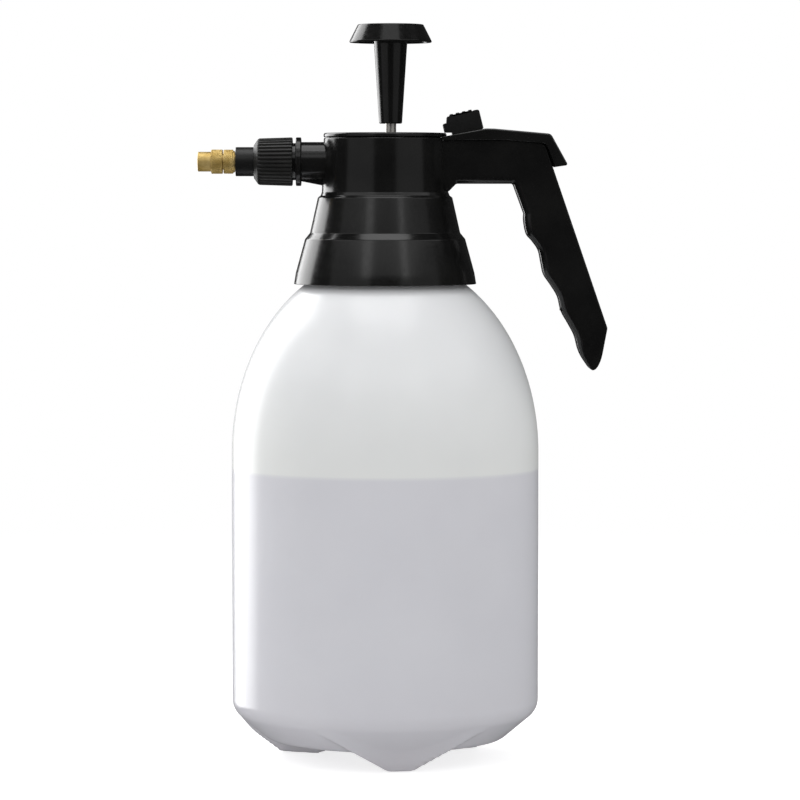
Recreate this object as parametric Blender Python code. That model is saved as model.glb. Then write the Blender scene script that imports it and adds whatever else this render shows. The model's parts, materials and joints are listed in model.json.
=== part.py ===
"""A two-litre hand pump sprayer, built from its separate pieces.

Every size below is in millimetres, measured from the bottle's axis and from a level that
is GROUND_Z below the feet. +Z is up, the nozzle points to -X and the grip is on the +X side.
The finished meshes are in metres.
"""

import math

import bmesh
import bpy
from mathutils import Matrix, Vector

MM = 0.001
OVERLAP = 1.0  # how far a cutter runs past a surface
SHARP_ANGLE = 35  # degrees, above which an edge is shaded sharp

# overall
NOZZLE_TIP_X = -78.2
GRIP_BACK_X = 92.6
CENTRE_X = (NOZZLE_TIP_X + GRIP_BACK_X) / 2  # the model's middle, put over the origin
GROUND_Z = 1.25  # where the feet stand, put at the origin's height

# bottle
BOTTLE_RADIUS = 64.0
BOTTLE_WALL = 1.5
SIDE_BOTTOM = 25.0
SHOULDER_Z = 129.2
SHOULDER_RISE = 81.9
NECK_RADIUS = 23.5
NECK_BASE_Z = 208.0
MOUTH_Z = 227.0
FOOT_TURNS = (-82.0, 38.0, 158.0)  # degrees about +Z from +X
FOOT_RADIUS = 37.0
PAD_HALF_WIDTH = 4.75
PAD_HALF_LENGTH = 9.0
FLANK_SLOPE = 0.577
FOOT_END_SLOPE = 2.5
VALLEY_Z = 9.3
VALLEY_RADIUS = 46.0
VALLEY_RISE = 3.0
BASE_CONE_SLOPE = 0.842
BASE_CONE_RADIUS = 49.0
BASE_CONE_Z = 9.2

# neck thread
NECK_LEAD = 4.0
NECK_THREAD_TURNS = 1.25
NECK_THREAD_Z = 212.0
NECK_THREAD_CREST = 25.0
NECK_RIDGE_ROOT = 2.2
NECK_RIDGE_TIP = 0.9
COLLAR_BORE = 25.35
COLLAR_THREAD_CREST = 23.95

# head
DECK_UNDER_Z = 229.8
DECK_TOP_Z = 232.3
HEAD_BORE = 23.4
HEAD_TOP_Z = 259.9
CAP_RADIUS = 25.6
CAP_UNDER_Z = 260.2
CAP_TOP_Z = 262.3

# arm and grip
ARM_HALF_WIDTH = 9.5
CHANNEL_HALF_WIDTH = 7.0
ARM_FLOOR_Z = 243.4
GRIP_WALL = 3.6
FINGER_ROUNDING = 2.2
GRIP_RIB_HEIGHTS = (226.0, 206.0, 188.0)
GRIP_RIB_THICKNESS = 1.6
GRIP_RIB_DEPTH = 16.0

# pump, on its own axis
PUMP_X = 2.3
BARREL_RADIUS = 11.5
BARREL_BORE = 10.2
BARREL_FLANGE = 14.0
BARREL_TOP_Z = 236.3
BARREL_FLOOR_Z = 119.5
BARREL_BOTTOM_Z = 110.0
ROD_RADIUS = 2.3
ROD_BORE = 2.45
PISTON_Z = 128.0
PISTON_HEIGHT = 10.0
NUT_CORNER = 4.6  # hexagon nut under the piston, across its corners, halved

# dip tube and its fitting
TUBE_X = 10.0
TUBE_Y = 14.8
HOSE_RADIUS = 2.3
HOSE_BORE = 1.6
BARB_RADIUS = 1.3
BARB_BORE = 0.7
HOSE_LOOP_RADIUS = 19.4
ELBOW_X = -18.9

# nozzle, along X
NOZZLE_Z = 250.0
SPIGOT_END_X = -46.0
SPIGOT_RADIUS = 7.7
SPIGOT_THREAD_CREST = 8.3
NUT_BORE = 8.6
NUT_THREAD_CREST = 8.0
NUT_LEAD = 2.0
NUT_THREAD_TURNS = 1.5
NUT_RIDGE_ROOT = 1.0
NUT_RIDGE_TIP = 0.4
NUT_RIB_DEPTH = 0.6
KNURL_DEPTH = 0.25

# trigger
PIVOT_X = 47.0
PIVOT_Z = 257.5
PIN_RADIUS = 1.5
LEVER_HALF_WIDTH = 11.1
LEVER_HOLLOW_HALF_WIDTH = 9.85
EAR_Y = 5.2
EAR_HALF_WIDTH = 0.8
LOCK_HALF_WIDTH = 7.0
LOCK_RIDGE_PITCH = 2.6
LOCK_TOP_SLOPE = 0.23
LOCK_TRAVEL = 3.0
VALVE_X = 33.0
INLET_PORT = (1.5, 250.8)  # y and z
OUTLET_PORT = (-1.5, 245.9)
SPRING_TURNS = 3
SPRING_RADIUS = 2.2
WIRE_RADIUS = 0.22

BLACK = (0.012, 0.012, 0.012)
RUBBER = (0.02, 0.02, 0.02)
WHITE_PLASTIC = (0.75, 0.75, 0.76)
CLEAR_TUBE = (0.70, 0.72, 0.72)
STEEL = (0.55, 0.54, 0.51)
BRASS = (0.56, 0.40, 0.16)
NATURAL_PLASTIC = (0.72, 0.73, 0.74)

for old in list(bpy.data.objects):
    bpy.data.objects.remove(old)

root = bpy.data.objects.new("sprayer_root", None)
root.location = (-CENTRE_X * MM, 0, -GROUND_Z * MM)
bpy.context.scene.collection.objects.link(root)


def material(name, colour, roughness, metallic):
    """A Principled material of one colour."""
    made = bpy.data.materials.new(name + "_material")
    made.use_nodes = True
    shader = made.node_tree.nodes["Principled BSDF"]
    shader.inputs["Base Color"].default_value = (*colour, 1)
    shader.inputs["Roughness"].default_value = roughness
    shader.inputs["Metallic"].default_value = metallic
    made.diffuse_color = (*colour, 1)
    return made


def tidy(shape):
    """Merge coinciding vertices, drop loose edges and turn the faces outwards."""
    bmesh.ops.remove_doubles(shape, verts=shape.verts, dist=1e-4)
    loose = [edge for edge in shape.edges if not edge.link_faces]
    bmesh.ops.delete(shape, geom=loose, context="EDGES")
    bmesh.ops.recalc_face_normals(shape, faces=shape.faces)


def place(name, shape, colour, origin=(0, 0, 0), roughness=0.35, metallic=0.0):
    """Make an object from a shape in millimetres, with its origin at a point of its own."""
    tidy(shape)
    bmesh.ops.translate(shape, verts=shape.verts, vec=-Vector(origin))
    bmesh.ops.scale(shape, verts=shape.verts, vec=(MM, MM, MM))
    mesh = bpy.data.meshes.new(name)
    shape.to_mesh(mesh)
    shape.free()
    mesh.shade_smooth()
    mesh.set_sharp_from_angle(angle=math.radians(SHARP_ANGLE))
    mesh.materials.append(material(name, colour, roughness, metallic))
    made = bpy.data.objects.new(name, mesh)
    made.location = Vector(origin) * MM
    made.parent = root
    bpy.context.scene.collection.objects.link(made)
    return made


def combine(target, name, shape, operation):
    """Cut a shape from the target, or join it on, with an exact Boolean."""
    tool = place(name, shape, BLACK)
    tool.hide_render = True
    tool.display_type = "WIRE"
    modifier = target.modifiers.new(name, "BOOLEAN")
    modifier.operation = operation
    modifier.solver = "EXACT"
    modifier.object = tool
    return tool


def cut(target, name, shape):
    return combine(target, name, shape, "DIFFERENCE")


def join(target, name, shape):
    return combine(target, name, shape, "UNION")


def turned(profile, segments=20, axis="Z", centre=(0, 0, 0), flutes=()):
    """A lathe shape from (radius, place along the axis) points.

    A profile that starts and ends on the axis gets flat ends. Any other is a closed ring.
    flutes holds (point number, depth) pairs, where every other column is set in by the depth.
    """
    shape = bmesh.new()
    closed = profile[0][0] > 0
    if not closed:
        profile = profile[1:-1]
    columns = []
    depth = dict(flutes)
    for column in range(segments):
        angle = 2 * math.pi * column / segments
        points = []
        for number, (radius, along) in enumerate(profile):
            inset = depth.get(number, 0) if column % 2 else 0
            spot = ((radius - inset) * math.cos(angle), (radius - inset) * math.sin(angle), along)
            points.append(shape.verts.new(spot))
        columns.append(points)
    last = len(profile) if closed else len(profile) - 1
    for column in range(segments):
        here = columns[column]
        there = columns[(column + 1) % segments]
        for number in range(last):
            after = (number + 1) % len(profile)
            shape.faces.new((here[number], there[number], there[after], here[after]))
    if not closed:
        shape.faces.new([column[0] for column in columns])
        shape.faces.new([column[-1] for column in columns])
    if axis == "X":
        bmesh.ops.rotate(shape, verts=shape.verts, matrix=Matrix.Rotation(math.pi / 2, 3, "Y"))
    if axis == "Y":
        bmesh.ops.rotate(shape, verts=shape.verts, matrix=Matrix.Rotation(-math.pi / 2, 3, "X"))
    bmesh.ops.translate(shape, verts=shape.verts, vec=centre)
    return shape


def rod(radius, low, high, segments=20, axis="Z", centre=(0, 0, 0)):
    """A plain cylinder between two places on its axis."""
    profile = [(0, high), (radius, high), (radius, low), (0, low)]
    return turned(profile, segments, axis, centre)


def ring(inner, outer, low, high, segments=20, axis="Z", centre=(0, 0, 0)):
    """A plain tube between two places on its axis."""
    profile = [(inner, high), (outer, high), (outer, low), (inner, low)]
    return turned(profile, segments, axis, centre)


def prism(outline, half_width, middle=0.0):
    """An outline of (x, z) points, extruded along Y."""
    shape = bmesh.new()
    verts = [shape.verts.new((x, middle - half_width, z)) for x, z in outline]
    face = shape.faces.new(verts)
    grown = bmesh.ops.extrude_face_region(shape, geom=[face])
    moved = [part for part in grown["geom"] if isinstance(part, bmesh.types.BMVert)]
    bmesh.ops.translate(shape, verts=moved, vec=(0, 2 * half_width, 0))
    return shape


def box(low, high):
    """A block between two corners."""
    outline = [(low[0], low[2]), (high[0], low[2]), (high[0], high[2]), (low[0], high[2])]
    return prism(outline, (high[1] - low[1]) / 2, (high[1] + low[1]) / 2)


def ridge(wall, crest, root, tip, lead, start, turns, steps, axis="Z", centre=(0, 0, 0)):
    """A helical thread ridge on a wall, root wide there and tip wide at its crest.

    It fades into the wall at both ends.
    """
    inward = 1 if crest > wall else -1
    buried = wall - 0.5 * inward
    count = round(turns * steps)
    shape = bmesh.new()
    sections = []
    for step in range(count + 1):
        angle = 2 * math.pi * step / steps
        fade = min(1, step / 2, (count - step) / 2)
        reach = wall - 0.2 * inward + (crest - wall + 0.2 * inward) * fade
        middle = start + lead * angle / (2 * math.pi)
        corners = (
            (buried, -root / 2),
            (reach, -tip / 2),
            (reach, tip / 2),
            (buried, root / 2),
        )
        section = []
        for radius, off in corners:
            spot = (radius * math.cos(angle), radius * math.sin(angle), middle + off)
            section.append(shape.verts.new(spot))
        sections.append(section)
    for here, there in zip(sections, sections[1:]):
        for number in range(4):
            after = (number + 1) % 4
            shape.faces.new((here[number], there[number], there[after], here[after]))
    shape.faces.new(sections[0])
    shape.faces.new(sections[-1])
    if axis == "X":
        bmesh.ops.rotate(shape, verts=shape.verts, matrix=Matrix.Rotation(-math.pi / 2, 3, "Y"))
    bmesh.ops.translate(shape, verts=shape.verts, vec=centre)
    return shape


def smooth_path(knots, steps):
    """A Catmull-Rom curve through the knots."""
    points = [Vector(knot) for knot in knots]
    ends = [2 * points[0] - points[1]] + points + [2 * points[-1] - points[-2]]
    path = []
    for a, b, c, d in zip(ends, ends[1:], ends[2:], ends[3:]):
        for step in range(steps):
            t = step / steps
            path.append(
                0.5 * (2 * b + (c - a) * t + (2 * a - 5 * b + 4 * c - d) * t**2
                       + (3 * b - a - 3 * c + d) * t**3)
            )
    path.append(points[-1])
    return path


def tube(path, outer, inner, sides=8):
    """A hollow hose along a path, closed round its two ends."""
    shape = bmesh.new()
    tangents = []
    for number in range(len(path)):
        before = path[max(number - 1, 0)]
        after = path[min(number + 1, len(path) - 1)]
        tangents.append((after - before).normalized())
    side = tangents[0].orthogonal().normalized()
    rows = []
    for spot, forward in zip(path, tangents):
        side = (side - forward * side.dot(forward)).normalized()
        other = forward.cross(side)
        row = []
        for radius in (outer, inner):
            loop = []
            for number in range(sides):
                angle = 2 * math.pi * number / sides
                offset = side * math.cos(angle) + other * math.sin(angle)
                loop.append(shape.verts.new(spot + offset * radius))
            row.append(loop)
        rows.append(row)

    def skin(first, second):
        for number in range(sides):
            after = (number + 1) % sides
            shape.faces.new((first[number], first[after], second[after], second[number]))

    for here, there in zip(rows, rows[1:]):
        skin(here[0], there[0])
        skin(here[1], there[1])
    skin(rows[0][0], rows[0][1])
    skin(rows[-1][0], rows[-1][1])
    return shape


# ---------------------------------------------------------------- bottle

def underside_height(radius, turn):
    """Height of the bottle's underside at a radius and a turn from the nearest foot."""
    cone = BASE_CONE_Z + BASE_CONE_SLOPE * (radius - BASE_CONE_RADIUS)
    valley = VALLEY_Z + VALLEY_RISE * max(0, 1 - (radius / VALLEY_RADIUS) ** 2)
    across = abs(radius * math.sin(turn)) - PAD_HALF_WIDTH
    along = abs(radius * math.cos(turn) - FOOT_RADIUS) - PAD_HALF_LENGTH
    foot = GROUND_Z + max(0, across * FLANK_SLOPE, along * FOOT_END_SLOPE)
    return min(max(cone, valley), foot)


def bottle_shape():
    """The bottle's outer skin, open at the mouth, as columns of points round the axis."""
    pad_turn = 5.9
    between = 11
    offsets = [0.0]
    for step in range(between + 1):
        offsets.append(pad_turn + (120 - 2 * pad_turn) * step / between)
    base_radii = (57.0, 51.5, 48.5, 46.0, 37.0, 28.4, 25.0, 0.0)
    knuckle = ((BOTTLE_RADIUS, SIDE_BOTTOM), (62.4, 20.6))
    dome_steps = 6
    dome_end = math.acos(27.0 / BOTTLE_RADIUS)
    wall = [(NECK_RADIUS, MOUTH_Z), (NECK_RADIUS, NECK_BASE_Z), (25.2, 204.8)]
    for step in range(dome_steps + 1):
        rise = dome_end * (1 - step / dome_steps)
        wall.append((BOTTLE_RADIUS * math.cos(rise), SHOULDER_Z + SHOULDER_RISE * math.sin(rise)))
    wall.extend(knuckle)
    columns = []
    shape = bmesh.new()
    for foot in FOOT_TURNS:
        for offset in offsets:
            turn = math.radians(foot + offset)
            from_foot = math.radians(offset if offset < 60 else offset - 120)
            profile = wall + [(r, underside_height(r, from_foot)) for r in base_radii]
            column = [(r * math.cos(turn), r * math.sin(turn), z) for r, z in profile]
            columns.append([shape.verts.new(spot) for spot in column])
    for here, there in zip(columns, columns[1:] + columns[:1]):
        for number in range(len(here) - 1):
            shape.faces.new((here[number], there[number], there[number + 1], here[number + 1]))
    return shape


def make_bottle():
    bottle = place("bottle", bottle_shape(), NATURAL_PLASTIC, roughness=0.3)
    wall = bottle.modifiers.new("wall", "SOLIDIFY")
    wall.thickness = BOTTLE_WALL * MM
    wall.offset = -1
    wall.use_even_offset = True
    thread = ridge(
        NECK_RADIUS, NECK_THREAD_CREST, NECK_RIDGE_ROOT, NECK_RIDGE_TIP,
        NECK_LEAD, NECK_THREAD_Z, NECK_THREAD_TURNS, 24,
    )
    join(bottle, "bottle_thread", thread)
    gasket = ring(21.9, 25.0, MOUTH_Z + 0.3, DECK_UNDER_Z - 0.3, 32)
    place("neck_gasket", gasket, RUBBER, (0, 0, MOUTH_Z))


# ---------------------------------------------------------------- head

FINGER_CONTOUR = (
    (53.2, 240.8), (57.6, 229.2), (57.6, 225.4), (58.7, 220.0), (63.7, 213.1), (64.9, 207.6),
    (66.0, 203.0), (71.8, 193.8), (73.4, 187.6), (78.8, 177.6), (80.3, 172.2), (84.9, 164.5),
)


def grip_back(height):
    """Where the grip's straight back is at a height."""
    return 69.5 + 0.344 * (247.7 - height)


def arm_and_grip():
    """The arm and the grip as one block, with rounded finger edges."""
    outline = [(22.5, 259.1), (50.0, 259.1), (64.0, 257.9), (66.3, 256.6), (grip_back(247.7), 247.7)]
    outline += [(grip_back(181.4), 181.4), (92.6, 180.1), (90.3, 170.1), (88.6, 166.0), (86.4, 163.5)]
    outline += reversed(FINGER_CONTOUR)
    outline += [(29.0, 240.8), (26.5, 237.7), (22.5, 237.7)]
    shape = prism(outline, ARM_HALF_WIDTH)
    front = {(round(x, 3), round(z, 3)) for x, z in FINGER_CONTOUR + ((29.0, 240.8),)}
    rounded = []
    for edge in shape.edges:
        ends = [vert.co for vert in edge.verts]
        level = abs(ends[0].y - ends[1].y) < 1e-6
        if level and all((round(end.x, 3), round(end.z, 3)) in front for end in ends):
            rounded.append(edge)
    bmesh.ops.bevel(
        shape, geom=rounded, offset=FINGER_ROUNDING, segments=2, profile=0.5, affect="EDGES"
    )
    return shape


def channel():
    """The hollow in the arm and the grip, open at the top and at the back."""
    outline = [(20.0, ARM_FLOOR_Z), (20.0, 256.2), (26.6, 256.2), (26.6, 262.0), (69.0, 262.0)]
    outline += [(grip_back(247.7) + 4, 247.7), (grip_back(181.4) + 4, 181.4), (95.0, 172.0)]
    outline += [(x + GRIP_WALL, z) for x, z in reversed(FINGER_CONTOUR[1:-1])]
    outline += [(FINGER_CONTOUR[0][0] + 2.4, ARM_FLOOR_Z)]
    return prism(outline, CHANNEL_HALF_WIDTH)


def make_head():
    deck = [(0, DECK_TOP_Z), (HEAD_BORE, DECK_TOP_Z), (HEAD_BORE, HEAD_TOP_Z), (25.4, HEAD_TOP_Z)]
    outside = [(26.4, 237.2), (26.8, 236.0), (27.9, 235.2), (31.3, 220.2), (32.5, 218.9), (33.4, 217.6)]
    skirt = [(33.8, 216.4), (35.4, 210.0), (37.1, 203.9), (38.0, 199.1), (36.2, 199.1), (35.3, 203.9)]
    inside = [(33.6, 210.0), (31.8, 216.4), (29.7, 220.6), (27.5, 221.5), (27.5, 206.5)]
    collar = [(COLLAR_BORE, 206.5), (COLLAR_BORE, DECK_UNDER_Z), (0, DECK_UNDER_Z)]
    profile = deck + outside + skirt + inside + collar
    head = place("head_housing", turned(profile, 32), BLACK, roughness=0.25)
    arm = join(head, "arm_and_grip", arm_and_grip())
    cut(arm, "arm_root", rod(HEAD_BORE + 0.7, DECK_UNDER_Z, HEAD_TOP_Z + OVERLAP, 32))
    cut(head, "channel", channel())
    for number, height in enumerate(GRIP_RIB_HEIGHTS):
        top = height + GRIP_RIB_THICKNESS
        front = grip_back(height) - 1.0 - GRIP_RIB_DEPTH
        outline = [(front, height), (grip_back(height) - 1.0, height)]
        outline += [(grip_back(top) - 1.0, top), (front, top)]
        join(head, "grip_rib_%d" % (number + 1), prism(outline, CHANNEL_HALF_WIDTH + 0.4))
    boss = [(0, -23.9), (8.15, -23.9), (8.15, -34.9), (10.1, -34.9), (10.1, -37.1)]
    boss += [(SPIGOT_RADIUS, -37.1), (SPIGOT_RADIUS, SPIGOT_END_X), (0, SPIGOT_END_X)]
    join(head, "nozzle_boss", turned(boss, 24, "X", (0, 0, NOZZLE_Z)))
    rib = [(-34.8, 241.9), (-34.8, 243.5), (-24.5, 243.5), (-24.5, 240.0)]
    join(head, "boss_rib", prism(rib, 2.5))
    bore = rod(2.5, SPIGOT_END_X - OVERLAP, -21.0, 16, "X", (0, 0, NOZZLE_Z))
    cut(head, "boss_bore", bore)
    low = DECK_UNDER_Z - OVERLAP
    high = DECK_TOP_Z + OVERLAP
    cut(head, "barrel_hole", rod(BARREL_RADIUS + 0.3, low, high, 24, "Z", (PUMP_X, 0, 0)))
    cut(head, "fitting_hole", rod(2.5, low, high, 16, "Z", (TUBE_X, TUBE_Y, 0)))
    slot_low = (PIVOT_X - 1.8, -8.9, PIVOT_Z - 1.8)
    slot_high = (PIVOT_X + 1.8, 8.9, 262.0)
    cut(head, "pin_slot", box(slot_low, slot_high))
    collar_thread = ridge(
        COLLAR_BORE, COLLAR_THREAD_CREST, NECK_RIDGE_ROOT, NECK_RIDGE_TIP,
        NECK_LEAD, NECK_THREAD_Z - NECK_LEAD / 2, NECK_THREAD_TURNS, 24,
    )
    join(head, "collar_thread", collar_thread)
    spigot_thread = ridge(
        SPIGOT_RADIUS, SPIGOT_THREAD_CREST, NUT_RIDGE_ROOT, NUT_RIDGE_TIP,
        NUT_LEAD, 41.2, NUT_THREAD_TURNS, 16, "X", (0, 0, NOZZLE_Z),
    )
    join(head, "spigot_thread", spigot_thread)


def make_cap():
    disc = [(0, CAP_TOP_Z), (CAP_RADIUS - 0.5, CAP_TOP_Z), (CAP_RADIUS, CAP_TOP_Z - 0.5)]
    disc += [(CAP_RADIUS, CAP_UNDER_Z), (23.1, CAP_UNDER_Z), (23.1, 256.4), (21.4, 256.4)]
    disc += [(21.4, CAP_UNDER_Z + 0.4), (0, CAP_UNDER_Z + 0.4)]
    cap = place("pump_cap", turned(disc, 32), BLACK, roughness=0.25)
    sleeve = ring(11.9, 13.7, BARREL_TOP_Z + 0.3, CAP_UNDER_Z + 1.2, 24, "Z", (PUMP_X, 0, 0))
    join(cap, "cap_sleeve", sleeve)
    cut(cap, "rod_hole", rod(ROD_BORE, CAP_UNDER_Z - 2, CAP_TOP_Z + OVERLAP, 16, "Z", (PUMP_X, 0, 0)))


# ---------------------------------------------------------------- pump

def make_pump():
    centre = (PUMP_X, 0, 0)
    barrel = [(BARREL_BORE, BARREL_TOP_Z), (BARREL_FLANGE, BARREL_TOP_Z), (BARREL_FLANGE, 234.1)]
    barrel += [(BARREL_RADIUS, 234.1), (BARREL_RADIUS, BARREL_BOTTOM_Z), (8.6, BARREL_BOTTOM_Z)]
    barrel += [(8.6, 117.0), (2.2, 117.0), (2.2, BARREL_FLOOR_Z), (BARREL_BORE, BARREL_FLOOR_Z)]
    place("pump_barrel", turned(barrel, 20, "Z", centre), WHITE_PLASTIC, centre)
    place("barrel_seal", ring(11.8, 13.9, 232.6, 233.8, 20, "Z", centre), RUBBER, centre)
    place("check_valve", rod(7.4, 115.3, 116.6, 20, "Z", centre), RUBBER, (PUMP_X, 0, 115.3))
    foot = place("barrel_foot", ring(6.4, 8.3, 110.2, 113.4, 20, "Z", centre), WHITE_PLASTIC, centre)
    for number in range(3):
        angle = math.radians(120 * number)
        spoke = box((1.0, -0.9, 110.2 + 0.8), (7.2, 0.9, 113.4 - 0.4))
        bmesh.ops.rotate(spoke, verts=spoke.verts, matrix=Matrix.Rotation(angle, 3, "Z"))
        bmesh.ops.translate(spoke, verts=spoke.verts, vec=centre)
        join(foot, "foot_spoke_%d" % (number + 1), spoke)
    join(foot, "foot_hub", rod(2.4, 110.2, 113.2, 12, "Z", centre))
    top = PISTON_Z + PISTON_HEIGHT
    piston = [(ROD_BORE, top), (9.9, top), (9.9, 134.6), (7.8, 134.6), (7.8, 131.4), (9.9, 131.4)]
    piston += [(9.9, PISTON_Z), (ROD_BORE, PISTON_Z)]
    place("piston", turned(piston, 20, "Z", centre), WHITE_PLASTIC, (PUMP_X, 0, PISTON_Z))
    place("piston_ring", ring(8.1, 10.1, 131.7, 134.3, 20, "Z", centre), RUBBER, (PUMP_X, 0, PISTON_Z))
    rod_end = (PUMP_X, 0, PISTON_Z)
    shaft = rod(ROD_RADIUS, 125.0, 296.0, 16, "Z", centre)
    place("pump_rod", shaft, STEEL, rod_end, roughness=0.25, metallic=1.0)
    clip = ring(ROD_BORE, 4.4, top + 0.3, top + 1.5, 16, "Z", centre)
    place("rod_clip", clip, STEEL, rod_end, roughness=0.3, metallic=1.0)
    flat = NUT_CORNER * (1 - math.cos(math.pi / 6))
    nut = [(2.6, PISTON_Z - 0.3), (NUT_CORNER, PISTON_Z - 0.3), (NUT_CORNER, 124.2), (2.6, 124.2)]
    nut = turned(nut, 12, "Z", centre, flutes=((1, flat), (2, flat)))
    nut_object = place("piston_nut", nut, STEEL, rod_end, roughness=0.3, metallic=1.0)
    nut_object.data.set_sharp_from_angle(angle=math.radians(20))
    knob = [(0, 306.9), (13.4, 306.9), (14.2, 306.3), (17.0, 300.0), (17.0, 299.4), (15.6, 299.4)]
    knob += [(13.4, 304.0), (7.6, 304.0), (6.9, 299.0), (5.0, 267.0), (4.7, 265.8), (ROD_BORE, 265.8)]
    knob += [(ROD_BORE, 296.3), (0, 296.3)]
    place("pump_handle", turned(knob, 28, "Z", centre), BLACK, rod_end, roughness=0.25)


# ---------------------------------------------------------------- dip tube and hoses

def make_tubes():
    centre = (TUBE_X, TUBE_Y, 0)
    fitting = [(BARB_BORE, 236.6), (BARB_RADIUS, 236.6), (BARB_RADIUS, 233.4), (2.2, 233.4)]
    fitting += [(2.2, 229.5), (3.4, 229.5), (3.4, 228.3), (1.65, 228.3), (1.65, 221.5), (BARB_BORE, 221.5)]
    place("tube_fitting", turned(fitting, 16, "Z", centre), BLACK, centre)
    place("dip_tube", ring(1.9, 2.6, 17.5, 228.0, 12, "Z", centre), CLEAR_TUBE, centre)
    strainer = [(0, 14.5), (4.4, 14.5), (4.4, 27.0), (2.9, 27.0), (2.9, 17.0), (0, 17.0)]
    place("dip_filter", turned(strainer, 14, "Z", centre), WHITE_PLASTIC, centre)
    inlet = [(TUBE_X, TUBE_Y, 233.8), (TUBE_X, TUBE_Y, 236.8), (10.6, 14.6, 240.6), (13.6, 12.9, 245.5)]
    inlet += [(17.0, 9.2, 249.2), (19.9, 4.6, 250.8), (23.4, *INLET_PORT), (26.8, *INLET_PORT)]
    place("inlet_hose", tube(smooth_path(inlet, 2), HOSE_RADIUS, HOSE_BORE), CLEAR_TUBE, inlet[0])
    outlet = [(26.8, *OUTLET_PORT), (24.4, *OUTLET_PORT), (22.0, -2.2, 245.9)]
    for turn in (-22, -48, -75, -102, -128, -147):
        angle = math.radians(turn)
        rise = 245.9 + 4.1 * (-22 - turn) / 125
        spot = (HOSE_LOOP_RADIUS * math.cos(angle), HOSE_LOOP_RADIUS * math.sin(angle), rise)
        outlet.append(spot)
    outlet += [(ELBOW_X, -6.4, NOZZLE_Z), (ELBOW_X, -3.0, NOZZLE_Z)]
    place("outlet_hose", tube(smooth_path(outlet, 2), HOSE_RADIUS, HOSE_BORE), CLEAR_TUBE, outlet[0])
    centre = (ELBOW_X, 0, NOZZLE_Z)
    elbow_block = box((ELBOW_X - 2.6, -2.6, NOZZLE_Z - 2.6), (ELBOW_X + 2.6, 2.6, NOZZLE_Z + 2.6))
    elbow = place("outlet_elbow", elbow_block, BLACK, centre)
    join(elbow, "elbow_spigot", rod(2.2, -27.0, -20.0, 14, "X", (0, 0, NOZZLE_Z)))
    join(elbow, "elbow_barb", rod(BARB_RADIUS, -5.8, -1.0, 12, "Y", centre))
    cut(elbow, "elbow_bore_x", rod(BARB_BORE, -28.0, ELBOW_X + 0.5, 10, "X", (0, 0, NOZZLE_Z)))
    cut(elbow, "elbow_bore_y", rod(BARB_BORE, -9.0, 0.5, 10, "Y", centre))


# ---------------------------------------------------------------- trigger valve

def make_valve():
    centre = (VALVE_X, 0, 0)
    body = place("valve_body", box((27.3, -5.8, 243.7), (38.7, 5.8, 255.7)), WHITE_PLASTIC, centre)
    ports = {"inlet": (0, *INLET_PORT), "outlet": (0, *OUTLET_PORT)}
    for name, port in ports.items():
        join(body, "valve_%s_barb" % name, rod(BARB_RADIUS, 24.6, 28.0, 12, "X", port))
    cut(body, "valve_chamber", rod(3.4, 246.8, 257.0, 20, "Z", centre))
    cut(body, "valve_passage", rod(1.6, 245.0, 247.5, 12, "Z", centre))
    for name, port in ports.items():
        cut(body, "valve_%s_bore" % name, rod(BARB_BORE, 20.8, VALVE_X - 0.37, 10, "X", port))
    place("valve_seat", ring(1.7, 3.2, 247.1, 248.1, 20, "Z", centre), RUBBER, centre)
    bonnet = [(1.45, 256.9), (4.6, 256.9), (4.6, 256.0), (3.15, 256.0), (3.15, 253.7), (1.45, 253.7)]
    bonnet += [(1.45, 254.3), (2.6, 254.3), (2.6, 255.3), (1.45, 255.3)]
    place("valve_bonnet", turned(bonnet, 16, "Z", centre), WHITE_PLASTIC, centre)
    place("stem_o_ring", ring(1.4, 2.45, 254.45, 255.15, 16, "Z", centre), RUBBER, centre)
    stem = [(0, 259.8), (2.3, 259.8), (2.3, 258.9), (1.3, 258.9), (1.3, 249.4), (2.8, 249.4)]
    stem += [(2.8, 248.4), (0, 248.4)]
    place("valve_stem", turned(stem, 16, "Z", centre), STEEL, (VALVE_X, 0, 248.4), 0.3, 1.0)
    coil = []
    steps = SPRING_TURNS * 10
    for step in range(steps + 1):
        angle = 2 * math.pi * step / 10
        rise = 249.95 + 3.1 * step / steps
        offset = Vector((math.cos(angle), math.sin(angle), 0)) * SPRING_RADIUS
        coil.append(Vector((VALVE_X, 0, rise)) + offset)
    wire = tube(coil, WIRE_RADIUS, 0.08, 4)
    place("valve_spring", wire, STEEL, (VALVE_X, 0, 253.4), 0.3, 1.0)


# ---------------------------------------------------------------- trigger lever

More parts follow.
